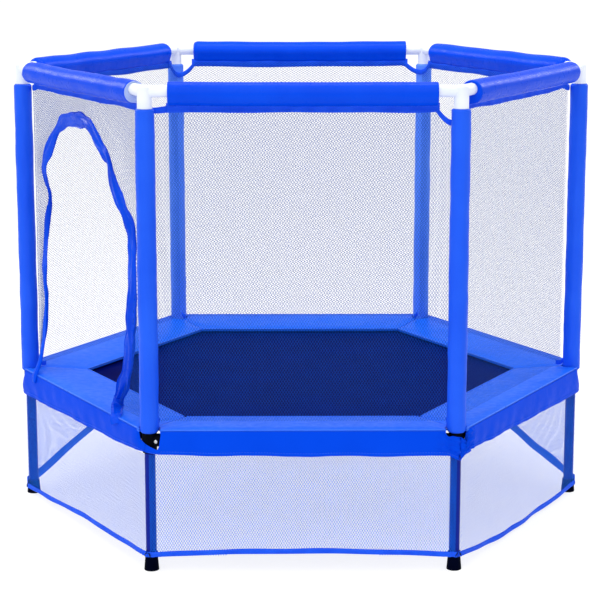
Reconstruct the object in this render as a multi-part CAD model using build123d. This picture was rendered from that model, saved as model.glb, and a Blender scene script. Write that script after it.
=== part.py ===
from build123d import *
import os
from math import cos, radians, sin, sqrt, tan

# A six-sided trampoline for small children. A steel ring of six rails on six legs holds a
# sprung jump mat under a safety pad. Six padded poles and six padded top rails carry the
# enclosure net, which has an arched doorway, and a net skirt hangs round the legs.
#
# Millimetres, +Z up. The origin is on the floor below the middle of the mat, -Y is the front,
# and two opposite legs stand on the X axis. Every side is modelled facing +X and every corner
# is modelled on the +X axis, and each is then turned about Z into its place.

# ---- driving dimensions ------------------------------------------------------------------
CORNER_RADIUS = 720.0    # middle of the trampoline to the axis of each leg and pole
TUBE_OD = 25.4           # legs, frame rails and poles
TUBE_WALL = 1.5
RAIL_Z = 319.0           # axis of the frame rails
TOP_RAIL_Z = 1138.0      # axis of the top rails
TOP_RAIL_OD = 22.0
SLEEVE_OD = 46.0         # foam sleeves on the poles
COVER_OD = 53.0          # foam covers on the top rails
MAT_TOP_Z = 328.0
PAD_INNER = 492.0        # middle to the inner edge of the safety pad
PAD_OUTER = 650.0        # middle to the outer edge of the safety pad
NET_APOTHEM = 603.0      # middle to the enclosure net
HEM_Z = 36.0             # bottom hem of the skirt above the floor
REAR_HEM_Z = 224.0       # the skirt is tied up this high on the two back legs

# ---- sizes that follow from them ---------------------------------------------------------
APOTHEM = CORNER_RADIUS * sqrt(3) / 2
HALF_SIDE = CORNER_RADIUS / 2
TUBE_ID = TUBE_OD - 2 * TUBE_WALL
SOCKET_ID = TUBE_OD + 0.4

# the way each side faces, and the way to each corner, in degrees about Z
SIDES = {
    "back_right": 30, "back": 90, "back_left": 150,
    "front_left": 210, "front": 270, "front_right": 330,
}
CORNERS = {
    "right": 0, "back_right": 60, "back_left": 120,
    "left": 180, "front_left": 240, "front_right": 300,
}
PAST = 1.0               # a cut runs this far past the face that it opens

# corner joints
HUB_OD = 34.0
HUB_BOTTOM = 290.0
HUB_TOP = 338.0
ARM_OD = 31.0
ARM_LENGTH = 62.0        # corner axis to the end of each arm
SOCKET_START = 20.0      # corner axis to where each arm's socket begins
TUBE_START = 22.0        # corner axis to where each tube begins
BUTT_Z = 313.0           # leg and pole meet here inside the hub

# foot caps
CAP_HEIGHT = 35.0
CAP_FLOOR = 6.0
CAP_BASE_R = 18.0
CAP_TOP_R = 15.0
CAP_EDGE_R = 1.5

# screws of the corner joints
SCREW_ALONG = 15.0       # corner axis to the screw, along the rail
SCREW_HEAD_R = 4.5
SCREW_HEAD_H = 3.0
SCREW_SHANK_R = 2.5
SCREW_CROWN_R = 1.4
SCREW_DEPTH = 8.0
SPOT_FACE = 14.8         # rail axis to the flat under the screw's head

# top fittings
SOCKET_OD = 34.0
SOCKET_BOTTOM = 1098.5
SOCKET_ROOF = 1128.0
TOP_ARM_OD = 28.0
TOP_BORE_ID = TOP_RAIL_OD + 0.4
TOP_WALL = 1.2
CROWN_FILLET = 8.0
SLEEVE_TOP = 1098.0
SLEEVE_BOTTOM = 338.5
COVER_DROP = 6.0         # the cover's outside hangs this much below the top rail's axis
COVER_BORE = 29.0
COVER_END = 52.0         # corner axis to the end of each cover
COVER_HEM_Z = 1092.0
COVER_HEM_THICK = 2.0
COVER_HEM_TUCK = 14.0    # cover's axis to the top of the hem, which starts inside the cover
NET_TO_HEM = 0.3

# mat, springs and rings
MAT_APOTHEM = 515.0
MAT_THICK = 1.5
BORDER_WIDTH = 22.0
BORDER_THICK = 1.8
SPRINGS_PER_SIDE = 6
SPRING_PITCH = 84.0
SPRING_Z = 321.5
SPRING_OD = 13.0
SPRING_WIRE_R = 1.25
RING_THICK = 2.8
RING_HALF_WIDTH = 19.0
RING_TUCK = 12.0         # how far a ring reaches in under the mat's edge
SPRING_COIL = (548.0, 600.0)     # middle to the two ends of the coils
SPRING_HOOKS = (534.0, 615.0)    # middle to the two ends of the hooks
SPRING_HOLE_R = 3.0

# pad and flap
PAD_INNER_Z = (330.5, 341.0)     # under and upper side at the inner edge
PAD_OUTER_Z = (337.8, 351.0)     # under and upper side at the outer edge
FLAP_THICK = 2.5
FLAP_BOTTOM = 280.0
NOTCH_R = 26.0
FLAP_NOTCH_R = 37.0
FLAP_NOTCH_Z = 304.0
MITRE_GAP = 0.25

# nets
NET_THICK = 1.5
NET_BOTTOM = 348.6
NET_TOP = 1105.0
NET_HALF = 340.0
SKIRT_INNER = 638.0
SKIRT_THICK = 1.2
SKIRT_HALF = 358.0
SKIRT_TOP = 288.0
RIBBON_HALF_WIDTH = 17.0
RIBBON_THICK = 3.0
NET_TO_RIBBON = 0.2
RIBBON_TO_TAIL = 0.1
TAIL_LENGTH = 50.0
TAIL_THICK = 2.0
TAIL_FROM_CORNER = 20.0  # the doorway's front bottom corner to the middle of the tail
DOOR_SIDE = "front_left"

# small fixings
TIE_THICK = 1.3
TIE_HEIGHTS = (4.0, 10.0)        # lower and upper edge above the skirt's hem
STRAP_Z = 360.0
STRAP_SIZE = (2.0, 12.0)
STRAP_TUCK = 18.0                # how far a strap reaches in from the corner of the net

# The doorway's edge in the plane of its net: across from the middle of the side, and height.
# The opening runs out through the bottom of the net.
DOOR_OUTLINE = [
    (-256, 300), (-256, 880), (-205, 955), (-125, 1013), (5, 1056), (100, 1036),
    (180, 958), (288, 815), (292, 740), (240, 590), (180, 430), (150, 300),
]
DOOR_FILLET = 38.0


# ---- helpers ---------------------------------------------------------------------------
def tube(outer_d, inner_d, bottom, top):
    """An upright tube on the Z axis."""
    height = top - bottom
    whole = Cylinder(outer_d / 2, height) - Cylinder(inner_d / 2, height + 2 * PAST)
    return Pos(0, 0, (bottom + top) / 2) * whole


def rod(diameter, start, end):
    """A round bar between two points."""
    start, end = Vector(*start), Vector(*end)
    run = end - start
    place = Plane(origin=(start + end) / 2, z_dir=run)
    return place * Cylinder(diameter / 2, run.length)


def on_side(shape, side):
    """Turn a shape that faces +X so that it faces the way of the named side."""
    return Rot(0, 0, SIDES[side]) * shape


def on_corner(shape, corner):
    """Turn a shape on the +X axis round to the named corner."""
    return Rot(0, 0, CORNERS[corner]) * shape


def side_profile(points, half_length):
    """A section drawn as (distance from the middle, height), drawn out along the side."""
    section = Plane.XZ * make_face(Polyline(*points, close=True))
    return extrude(section, amount=half_length, both=True)


def panel(outline, inner, thick):
    """A flat sheet standing at the side, from an outline drawn as (across, height)."""
    face = Plane.YZ.offset(inner) * outline
    return extrude(face, amount=thick)


def arm_direction(turn):
    """Along the rail that leaves a corner on the +X axis; turn is +1 or -1."""
    return Vector(cos(radians(120)), turn * sin(radians(120)), 0)


def arm_normal(turn):
    """Outwards from that rail's side."""
    return Vector(cos(radians(30)), turn * sin(radians(30)), 0)


def corner_point(turn, along, out, z):
    """A point given from the corner's axis, along a rail and outwards from it."""
    at = Vector(CORNER_RADIUS, 0, z) + arm_direction(turn) * along + arm_normal(turn) * out
    return tuple(at)


def spring_places():
    middle = (SPRINGS_PER_SIDE - 1) / 2
    return [(i - middle) * SPRING_PITCH for i in range(SPRINGS_PER_SIDE)]


def hexagon(apothem):
    """A hexagon about the origin with corners on the X axis."""
    radius = apothem * 2 / sqrt(3)
    turns = [radians(60 * i) for i in range(6)]
    return make_face(Polyline(*[(radius * cos(t), radius * sin(t)) for t in turns], close=True))


def slab(face, bottom, thick):
    return Pos(0, 0, bottom) * extrude(face, amount=thick)


# ---- steel frame -------------------------------------------------------------------------
def frame_rail():
    reach = HALF_SIDE - TUBE_START
    rail = rod(TUBE_OD, (APOTHEM, -reach, RAIL_Z), (APOTHEM, reach, RAIL_Z))
    rail -= rod(TUBE_ID, (APOTHEM, -reach - PAST, RAIL_Z), (APOTHEM, reach + PAST, RAIL_Z))
    for y in spring_places():
        rail -= rod(2 * SPRING_HOLE_R, (APOTHEM - TUBE_OD, y, SPRING_Z), (APOTHEM, y, SPRING_Z))
    return rail


def leg():
    return Pos(CORNER_RADIUS, 0, 0) * tube(TUBE_OD, TUBE_ID, CAP_FLOOR, BUTT_Z)


def pole():
    return Pos(CORNER_RADIUS, 0, 0) * tube(TUBE_OD, TUBE_ID, BUTT_Z + 0.5, SOCKET_ROOF - 1)


def foot_cap():
    outside = Pos(0, 0, CAP_HEIGHT / 2) * Cone(CAP_BASE_R, CAP_TOP_R, CAP_HEIGHT)
    outside = fillet(outside.edges().group_by(Axis.Z)[0], CAP_EDGE_R)
    bore = Pos(0, 0, CAP_FLOOR + CAP_HEIGHT / 2) * Cylinder(TUBE_OD / 2 + 0.1, CAP_HEIGHT)
    return Pos(CORNER_RADIUS, 0, 0) * (outside - bore)


def corner_joint():
    at = Pos(CORNER_RADIUS, 0, 0)
    middle_z = (HUB_BOTTOM + HUB_TOP) / 2
    joint = at * Pos(0, 0, middle_z) * Cylinder(HUB_OD / 2, HUB_TOP - HUB_BOTTOM)
    for turn in (1, -1):
        joint += rod(ARM_OD, corner_point(turn, 0, 0, RAIL_Z), corner_point(turn, ARM_LENGTH, 0, RAIL_Z))
    joint -= at * Pos(0, 0, middle_z) * Cylinder(SOCKET_ID / 2, HUB_TOP - HUB_BOTTOM + 2 * PAST)
    for turn in (1, -1):
        ends = [corner_point(turn, along, 0, RAIL_Z) for along in (SOCKET_START, ARM_LENGTH + PAST)]
        joint -= rod(SOCKET_ID, *ends)
        spot = [corner_point(turn, SCREW_ALONG, out, RAIL_Z) for out in (SPOT_FACE, SPOT_FACE + 6)]
        joint -= rod(2 * SCREW_HEAD_R + 1, *spot)
        tip = SPOT_FACE - SCREW_DEPTH - PAST
        hole = [corner_point(turn, SCREW_ALONG, out, RAIL_Z) for out in (tip, SPOT_FACE)]
        joint -= rod(2 * SCREW_SHANK_R + 0.4, *hole)
    return joint


def joint_screws():
    """The two pan-head screws of one corner joint, apart."""
    screws = []
    for turn in (1, -1):
        base, crown, tip = [
            corner_point(turn, SCREW_ALONG, out, RAIL_Z)
            for out in (SPOT_FACE, SPOT_FACE + SCREW_HEAD_H, SPOT_FACE - SCREW_DEPTH)
        ]
        head = rod(2 * SCREW_HEAD_R, base, crown)
        rim = head.edges().sort_by(Axis(base, arm_normal(turn)))[-1]
        screws.append(fillet(rim, SCREW_CROWN_R) + rod(2 * SCREW_SHANK_R, tip, base))
    return screws


# ---- top of the enclosure ----------------------------------------------------------------
def top_fitting():
    at = Pos(CORNER_RADIUS, 0, 0)
    crown = TOP_RAIL_Z + TOP_ARM_OD / 2
    body = at * Pos(0, 0, (SOCKET_BOTTOM + crown) / 2) * Cylinder(SOCKET_OD / 2, crown - SOCKET_BOTTOM)
    body = fillet(body.edges().group_by(Axis.Z)[-1], CROWN_FILLET)
    for turn in (1, -1):
        ends = [corner_point(turn, along, 0, TOP_RAIL_Z) for along in (0, ARM_LENGTH)]
        body += rod(TOP_ARM_OD, *ends)
    body -= at * Pos(0, 0, (SOCKET_BOTTOM - PAST + SOCKET_ROOF) / 2) * Cylinder(
        SOCKET_ID / 2, SOCKET_ROOF - SOCKET_BOTTOM + PAST
    )
    for turn in (1, -1):
        ends = [corner_point(turn, along, 0, TOP_RAIL_Z) for along in (SOCKET_START, ARM_LENGTH + PAST)]
        body -= rod(TOP_BORE_ID, *ends)
    return body


def top_rail():
    reach = HALF_SIDE - TUBE_START
    rail = rod(TOP_RAIL_OD, (APOTHEM, -reach, TOP_RAIL_Z), (APOTHEM, reach, TOP_RAIL_Z))
    bore = TOP_RAIL_OD - 2 * TOP_WALL
    return rail - rod(bore, (APOTHEM, -reach - PAST, TOP_RAIL_Z), (APOTHEM, reach + PAST, TOP_RAIL_Z))


def pole_sleeve():
    sleeve = tube(SLEEVE_OD, TUBE_OD + 0.6, SLEEVE_BOTTOM, SLEEVE_TOP)
    return Pos(CORNER_RADIUS, 0, 0) * sleeve


def rail_cover():
    """A foam cover that hangs a little low on its rail, with the hem that holds the net."""
    reach = HALF_SIDE - COVER_END
    low_z = TOP_RAIL_Z - COVER_DROP
    cover = rod(COVER_OD, (APOTHEM, -reach, low_z), (APOTHEM, reach, low_z))
    hem_x = NET_APOTHEM + NET_THICK / 2 + NET_TO_HEM + COVER_HEM_THICK / 2
    hem_top = low_z - COVER_HEM_TUCK
    hem = Box(COVER_HEM_THICK, 2 * reach, hem_top - COVER_HEM_Z)
    hem = Pos(hem_x, 0, (COVER_HEM_Z + hem_top) / 2) * hem
    bore = rod(COVER_BORE, (APOTHEM, -reach - PAST, TOP_RAIL_Z), (APOTHEM, reach + PAST, TOP_RAIL_Z))
    return cover + hem - bore


# ---- mat and springs ---------------------------------------------------------------------
def jump_mat():
    return slab(hexagon(MAT_APOTHEM), MAT_TOP_Z - MAT_THICK, MAT_THICK)


def mat_border():
    """The webbing sewn under the edge of the mat."""
    ring = hexagon(MAT_APOTHEM) - hexagon(MAT_APOTHEM - BORDER_WIDTH)
    return slab(ring, MAT_TOP_Z - MAT_THICK - BORDER_THICK, BORDER_THICK)


def spring_ring(y):
    """One triangular wire ring, which hangs out of the border for a spring's hook."""
    inner = MAT_APOTHEM - RING_TUCK
    tip = SPRING_HOOKS[0] - 1
    corners = [(inner, y - RING_HALF_WIDTH), (tip, y), (inner, y + RING_HALF_WIDTH)]
    triangle = make_face(Polyline(*corners, close=True))
    ring = triangle - offset(triangle, amount=-RING_THICK, kind=Kind.INTERSECTION)
    return slab(ring, SPRING_Z - RING_THICK / 2, RING_THICK)


def spring(y):
    """One spring as its outer shape: the coils, and a straight hook at each end."""
    coil = rod(SPRING_OD, (SPRING_COIL[0], y, SPRING_Z), (SPRING_COIL[1], y, SPRING_Z))
    wire = rod(2 * SPRING_WIRE_R, (SPRING_HOOKS[0], y, SPRING_Z), (SPRING_HOOKS[1], y, SPRING_Z))
    return coil + wire


# ---- safety pad --------------------------------------------------------------------------
def pad():
    """One side of the pad: the foam slab on top and the flap that hangs outside the rail."""
    section = [
        (PAD_INNER, PAD_INNER_Z[0]),
        (PAD_OUTER, PAD_OUTER_Z[0]),
        (PAD_OUTER, FLAP_BOTTOM),
        (PAD_OUTER + FLAP_THICK, FLAP_BOTTOM),
        (PAD_OUTER + FLAP_THICK, PAD_OUTER_Z[1]),
        (PAD_INNER, PAD_INNER_Z[1]),
    ]
    whole = side_profile(section, CORNER_RADIUS * 0.6)
    reach = CORNER_RADIUS * 1.2
    tilt = tan(radians(30))
    first = MITRE_GAP / tilt
    half = (reach - first) * tilt
    wedge = make_face(Polyline((first, 0), (reach, half), (reach, -half), close=True))
    whole = whole & slab(wedge, 0, 2 * PAD_OUTER_Z[1])
    for y in (HALF_SIDE, -HALF_SIDE):
        at = Pos(APOTHEM, y, FLAP_NOTCH_Z + CORNER_RADIUS / 2)
        whole -= at * Cylinder(NOTCH_R, CORNER_RADIUS)
        outside_only = Pos(PAD_OUTER + NOTCH_R, y, FLAP_NOTCH_Z + CORNER_RADIUS / 2) * Box(
            2 * NOTCH_R, 4 * NOTCH_R, CORNER_RADIUS
        )
        whole -= (at * Cylinder(FLAP_NOTCH_R, CORNER_RADIUS)) & outside_only
    return whole


# ---- nets --------------------------------------------------------------------------------
def rectangle(half, bottom, top):
    return make_face(Polyline((-half, bottom), (half, bottom), (half, top), (-half, top), close=True))


def doorway():
    """The opening in the door's net as a flat outline."""
    return make_face(FilletPolyline(*DOOR_OUTLINE, radius=DOOR_FILLET, close=True))


def net(side):
    outline = rectangle(NET_HALF, NET_BOTTOM, NET_TOP)
    if side == DOOR_SIDE:
        outline -= doorway()
    return panel(outline, NET_APOTHEM - NET_THICK / 2, NET_THICK)


def door_ribbon():
    """The wide binding round the doorway, and its loose tail over the edge of the pad."""
    band = offset(doorway(), amount=RIBBON_HALF_WIDTH) - offset(doorway(), amount=-RIBBON_HALF_WIDTH)
    band = band & rectangle(NET_HALF, NET_BOTTOM, NET_TOP)
    return panel(band, NET_APOTHEM + NET_THICK / 2 + NET_TO_RIBBON, RIBBON_THICK)


def ribbon_tail():
    """The loose end of the ribbon, laid over the pad's edge and down its flap."""
    lip = PAD_OUTER + FLAP_THICK + 0.4
    start = NET_APOTHEM + NET_THICK / 2 + NET_TO_RIBBON + RIBBON_THICK + RIBBON_TO_TAIL
    rise = (PAD_OUTER_Z[1] - PAD_INNER_Z[1]) / (PAD_OUTER - PAD_INNER)
    start_z = PAD_INNER_Z[1] + (start - PAD_INNER) * rise + 0.5
    lip_z = PAD_OUTER_Z[1] + 1
    section = [
        (start, start_z),
        (lip, lip_z),
        (lip, PAD_OUTER_Z[1] - TAIL_LENGTH),
        (lip + TAIL_THICK, PAD_OUTER_Z[1] - TAIL_LENGTH),
        (lip + TAIL_THICK, lip_z + TAIL_THICK),
        (start, start_z + TAIL_THICK),
    ]
    across = DOOR_OUTLINE[-2][0] - TAIL_FROM_CORNER
    return Pos(0, across, 0) * side_profile(section, RIBBON_HALF_WIDTH)


def skirt(side):
    """One side of the skirt. At the back it is tied up on the two back legs."""
    low_left = REAR_HEM_Z if side in ("back", "back_left") else HEM_Z
    low_right = REAR_HEM_Z if side in ("back", "back_right") else HEM_Z
    low = [(-SKIRT_HALF, low_left), (SKIRT_HALF, low_right)]
    high = [(SKIRT_HALF, SKIRT_TOP), (-SKIRT_HALF, SKIRT_TOP)]
    return panel(make_face(Polyline(*low, *high, close=True)), SKIRT_INNER, SKIRT_THICK)


def skirt_tie(corner):
    """The elastic loop that holds the skirt's hem to a leg."""
    height = REAR_HEM_Z if corner in ("back_left", "back_right") else HEM_Z
    low, high = [height + above for above in TIE_HEIGHTS]
    loop = tube(SOCKET_ID + 2 * TIE_THICK, SOCKET_ID, low, high)
    return Pos(CORNER_RADIUS, 0, 0) * loop


def net_strap():
    """The short strap between the net's bottom corner and the pole's sleeve."""
    outer = CORNER_RADIUS - SLEEVE_OD / 2 - 0.4
    inner = NET_APOTHEM * 2 / sqrt(3) - STRAP_TUCK
    return Pos((outer + inner) / 2, 0, STRAP_Z) * Box(outer - inner, *STRAP_SIZE)


# ---- write one file for each node --------------------------------------------------------
def write(name, *solids):
    shape = solids[0] if len(solids) == 1 else Compound(children=list(solids))
    export_step(shape, f"parts/{name}.step")


def round_the_ring(make, places, turn):
    """One solid at every side or corner."""
    return [turn(make(), place) for place in places]


os.makedirs("parts", exist_ok=True)

for side in SIDES:
    write(f"frame_rail_{side}", on_side(frame_rail(), side))
    write(f"rail_cover_{side}", on_side(rail_cover(), side))
    write(f"pad_{side}", on_side(pad(), side))
    write(f"net_{side}", on_side(net(side), side))

for corner in CORNERS:
    write(f"leg_{corner}", on_corner(leg(), corner))
    write(f"corner_joint_{corner}", on_corner(corner_joint(), corner))
    write(f"pole_sleeve_{corner}", on_corner(pole_sleeve(), corner))
    write(f"top_fitting_{corner}", on_corner(top_fitting(), corner))

write("foot_caps", *round_the_ring(foot_cap, CORNERS, on_corner))
write("poles", *round_the_ring(pole, CORNERS, on_corner))
write("top_rails", *round_the_ring(top_rail, SIDES, on_side))
write("joint_screws", *[on_corner(screw, corner) for corner in CORNERS for screw in joint_screws()])
write("net_straps", *round_the_ring(net_strap, CORNERS, on_corner))
write("skirt_ties", *[on_corner(skirt_tie(corner), corner) for corner in CORNERS])
write("skirt_net", *[on_side(skirt(side), side) for side in SIDES])
write("jump_mat", jump_mat())
write("mat_border", mat_border())
write("springs", *[on_side(spring(y), side) for side in SIDES for y in spring_places()])
write("spring_rings", *[on_side(spring_ring(y), side) for side in SIDES for y in spring_places()])
write("door_ribbon", on_side(door_ribbon(), DOOR_SIDE), on_side(ribbon_tail(), DOOR_SIDE))
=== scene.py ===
from math import cos, pi, radians, sin, sqrt, tan

import bmesh
import bpy
import numpy as np
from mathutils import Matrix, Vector


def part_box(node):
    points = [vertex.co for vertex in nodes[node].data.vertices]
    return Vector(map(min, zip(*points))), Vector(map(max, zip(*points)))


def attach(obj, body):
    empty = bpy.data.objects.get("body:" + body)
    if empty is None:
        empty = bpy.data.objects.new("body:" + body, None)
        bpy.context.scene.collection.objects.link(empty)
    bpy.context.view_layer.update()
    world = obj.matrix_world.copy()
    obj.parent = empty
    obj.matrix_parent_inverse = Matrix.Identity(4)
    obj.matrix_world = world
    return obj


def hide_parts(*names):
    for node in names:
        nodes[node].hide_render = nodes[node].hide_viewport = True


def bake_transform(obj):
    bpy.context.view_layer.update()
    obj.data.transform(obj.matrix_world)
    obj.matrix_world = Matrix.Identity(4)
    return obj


# The looks of a six-sided children's trampoline: padded ring, netted enclosure and net skirt.
# Metres, +Z up, the front is -Y. A side is described by how far out from the middle, how far
# across from the side's own middle, and how high; place() turns that into the frame.

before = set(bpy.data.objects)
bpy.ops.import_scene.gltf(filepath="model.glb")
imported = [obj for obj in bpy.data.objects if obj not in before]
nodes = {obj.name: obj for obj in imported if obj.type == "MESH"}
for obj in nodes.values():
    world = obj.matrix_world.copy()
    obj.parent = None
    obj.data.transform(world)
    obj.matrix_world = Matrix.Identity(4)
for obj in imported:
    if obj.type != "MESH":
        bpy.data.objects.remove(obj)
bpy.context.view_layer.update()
scene = bpy.context.scene

# ---- sizes, taken from the frame -----------------------------------------------------------
SIDES = {
    "back_right": 30, "back": 90, "back_left": 150,
    "front_left": 210, "front": 270, "front_right": 330,
}
CORNERS = {
    "right": 0, "back_right": 60, "back_left": 120,
    "left": 180, "front_left": 240, "front_right": 300,
}
TAN30 = tan(radians(30))


def front_box(node):
    """Nearest and farthest from the middle, lowest and highest, of a node at the front."""
    low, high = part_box(node)
    return -high.y, -low.y, low.z, high.z


leg_low, leg_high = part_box("leg_right")
CORNER_R = (leg_low.x + leg_high.x) / 2
TUBE_R = (leg_high.x - leg_low.x) / 2
APOTHEM = CORNER_R * cos(radians(30))
PAD_INNER, PAD_OUTER = front_box("pad_front")[:2]
net_near, net_far, NET_BOTTOM, NET_TOP = front_box("net_front")
NET_A = (net_near + net_far) / 2
COVER_OUTER, _, COVER_TOP = front_box("rail_cover_front")[1:]
COVER_R = COVER_OUTER - APOTHEM
COVER_AXIS_Z = COVER_TOP - COVER_R
COVER_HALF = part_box("rail_cover_front")[1].x
sleeve_low, sleeve_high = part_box("pole_sleeve_right")
SLEEVE_R = (sleeve_high.x - sleeve_low.x) / 2
mat_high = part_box("jump_mat")[1]
MAT_A, MAT_TOP = mat_high.y, mat_high.z
spring_low, spring_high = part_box("springs")
SPRING_Z = (spring_low.z + spring_high.z) / 2
SPRING_R = (spring_high.z - spring_low.z) / 2
SKIRT_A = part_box("skirt_net")[1].y
RAIL_TOP_Z, STRAP_Z = [sum(corner.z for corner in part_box(node)) / 2 for node in ("top_rails", "net_straps")]

DOOR_SIDE = "front_left"


# ---- camera and light ----------------------------------------------------------------------
def link(name, data):
    """A new object in the scene."""
    obj = bpy.data.objects.new(name, data)
    scene.collection.objects.link(obj)
    return obj


def set_camera():
    lens = bpy.data.cameras.new("camera")
    lens.lens = 116.317
    lens.sensor_width = 36
    lens.clip_end = 200
    camera = link("camera", lens)
    camera.location = (-.0344, -5.0232, 1.5562)
    camera.rotation_euler = (radians(90 - 11.584), 0, radians(-.358))
    scene.camera = camera


def add_light(name, kind, energy, place_at, look_at, **settings):
    light = bpy.data.lights.new(name, kind)
    light.energy = energy
    for key, value in settings.items():
        setattr(light, key, value)
    obj = link(name, light)
    obj.location = place_at
    way = obj.location - Vector(look_at)
    obj.rotation_euler = way.to_track_quat("Z", "Y").to_euler()


def set_studio():
    scene.view_settings.view_transform = "Standard"
    world = bpy.data.worlds.new("studio")
    world.use_nodes = True
    background = world.node_tree.nodes["Background"].inputs
    background["Color"].default_value = (1, 1, 1, 1)
    background["Strength"].default_value = .6
    scene.world = world
    add_light("soft_sun", "SUN", 1.5, (-1.5, -4, 6), (0, 0, .5), angle=radians(70))
    boxes = {
        "top_box": (30, (0, .3, 3.4), .5, 2.0, 1.0),
        "left_rim": (45, (-3.6, 2.6, 3.0), .9, 1.0, 1.6), "right_rim": (45, (3.6, 2.6, 3.0), .9, 1.0, 1.6),
    }
    for name, (energy, place_at, look_z, wide, tall) in boxes.items():
        add_light(name, "AREA", energy, place_at, (0, 0, look_z), shape="RECTANGLE", size=wide, size_y=tall)
    floor = bpy.data.meshes.new("floor")
    reach = 60
    corners = [(x * reach, y * reach, 0) for x, y in ((-1, -1), (1, -1), (1, 1), (-1, 1))]
    floor.from_pydata(corners, [], [(0, 1, 2, 3)])
    floor.materials.append(pale_floor())
    link("floor", floor)


# ---- materials -----------------------------------------------------------------------------
def srgb(r, g, b):
    """A display colour as the linear numbers that a shader takes."""
    values = [v / 255 for v in (r, g, b)]
    return tuple(v / 12.92 if v <= .04045 else ((v + .055) / 1.055) ** 2.4 for v in values) + (1,)


class Nodes:
    """Adds nodes to a tree, each input either a value or a link from another node."""

    def add(self, kind, inputs=None, **props):
        node = self.tree.nodes.new(kind)
        for key, value in props.items():
            setattr(node, key, value)
        for key, value in (inputs or {}).items():
            self.feed(node.inputs[key], value)
        return node

    def feed(self, socket, value):
        if isinstance(value, bpy.types.NodeSocket):
            self.tree.links.new(value, socket)
        else:
            socket.default_value = value

    def math(self, kind, a, b):
        return self.add("ShaderNodeMath", {0: a, 1: b}, operation=kind).outputs[0]

    def vector_math(self, kind, a, b):
        key = "Scale" if kind == "SCALE" else 1
        return self.add("ShaderNodeVectorMath", {0: a, key: b}, operation=kind).outputs[0]


class Finish(Nodes):
    """A material under construction, with the few nodes that all of these share."""

    def __init__(self, name, **sockets):
        self.material = bpy.data.materials.new(name)
        self.material.use_nodes = True
        self.tree = self.material.node_tree
        self.shader = self.tree.nodes["Principled BSDF"]
        self.bumps = None
        for key, value in sockets.items():
            self.shader.inputs[key.replace("_", " ")].default_value = value

    def coords(self, turn=(0, 0, 0), source="Object"):
        where = self.add("ShaderNodeTexCoord").outputs[source]
        return self.add("ShaderNodeMapping", {"Vector": where, "Rotation": turn}).outputs["Vector"]

    def noise(self, scale, detail=2.0, roughness=.5):
        return self.add("ShaderNodeTexNoise", {
            "Vector": self.coords(), "Scale": scale, "Detail": detail, "Roughness": roughness}).outputs["Fac"]

    def cells(self, scale):
        return self.add("ShaderNodeTexVoronoi", {
            "Vector": self.coords(), "Scale": scale}, feature="F1").outputs["Distance"]

    def bands(self, scale, vector, axis="X"):
        """Even bands, scale of them to a metre."""
        return self.add("ShaderNodeTexWave", {
            "Vector": vector, "Scale": scale * 2 * pi / 20, "Distortion": 0.0, "Detail": 0.0},
            wave_type="BANDS", bands_direction=axis, wave_profile="SIN").outputs["Fac"]

    def spread(self, value, low, high, start=0.0, end=1.0):
        return self.add("ShaderNodeMapRange", {
            "Value": value, "From Min": start, "From Max": end,
            "To Min": low, "To Max": high}).outputs["Result"]

    def mix(self, factor, a, b):
        return self.add("ShaderNodeMix", data_type="RGBA", inputs={0: factor, 6: a, 7: b}).outputs[2]

    def colour(self, value):
        self.tree.links.new(value, self.shader.inputs["Base Color"])

    def roughness(self, value):
        self.tree.links.new(value, self.shader.inputs["Roughness"])

    def bump(self, height, depth, strength=1.0):
        inputs = {"Height": height, "Distance": depth, "Strength": strength}
        if self.bumps is not None:
            inputs["Normal"] = self.bumps
        self.bumps = self.add("ShaderNodeBump", inputs).outputs["Normal"]
        self.tree.links.new(self.bumps, self.shader.inputs["Normal"])


def pale_floor():
    """A pale studio table, lit from below as for packshots."""
    return Finish("pale_floor", Base_Color=(.32, .32, .32, 1), Roughness=.9, Specular_IOR_Level=0,
                  Emission_Color=(1, 1, 1, 1), Emission_Strength=.78).material


def vinyl(name, light, dark, gloss=.38, shine=.1, coat=.06):
    """Coated fabric over foam: a fine pebbled grain, soft creases and a little uneven dye."""
    f = Finish(name, Specular_IOR_Level=shine, Coat_Weight=coat, Coat_Roughness=.25)
    f.colour(f.mix(f.spread(f.noise(7, 3), 0, 1, .3, .7), dark, light))
    f.roughness(f.spread(f.noise(60, 3), gloss - .06, gloss + .1, .3, .7))
    f.bump(f.cells(900.0), .00006, .6)
    f.bump(f.noise(34, 3), .0022, .35)
    return f.material


def net_thread(name, colour):
    """Knitted polyester strands, even in colour, so the mesh itself gives the pattern."""
    f = Finish(name, Roughness=.6, Specular_IOR_Level=.08)
    shaded = tuple(v * .86 for v in colour[:3]) + (1,)
    f.colour(f.mix(f.spread(f.noise(40, 2), 0, 1, .35, .65), shaded, colour))
    return f.material


def webbing(name, light, dark, rib=.0016):
    """Narrow woven tape: ribs across, threads along, and a selvedge sheen."""
    f = Finish(name, Specular_IOR_Level=.1)
    cloth = f.coords(source="UV")
    ribs = f.bands(1 / rib, cloth, "X")
    threads = f.bands(1 / (rib * .8), cloth, "Y")
    weave = f.math("MULTIPLY", ribs, threads)
    tone = f.math("ADD", f.spread(weave, 0, .6), f.spread(f.noise(25, 2), 0, .4, .3, .7))
    f.colour(f.mix(tone, dark, light))
    f.roughness(f.spread(weave, .62, .45))
    f.bump(weave, .0003, .7)
    return f.material


def mat_weave():
    """Woven polypropylene strips in a fine diagonal grid."""
    f = Finish("mat_weave", Specular_IOR_Level=.01)
    turned = f.coords(turn=(0, 0, radians(45)))
    strip = .0024
    weave = f.math("MULTIPLY", f.bands(1 / strip, turned, "X"), f.bands(1 / strip, turned, "Y"))
    tone = f.math("ADD", f.spread(weave, 0, .75), f.spread(f.noise(9, 3), 0, .25, .35, .65))
    f.colour(f.mix(tone, srgb(0, 2, 68), srgb(0, 18, 106)))
    f.roughness(f.spread(weave, .6, .42))
    f.bump(weave, .0004, .6)
    return f.material


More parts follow.
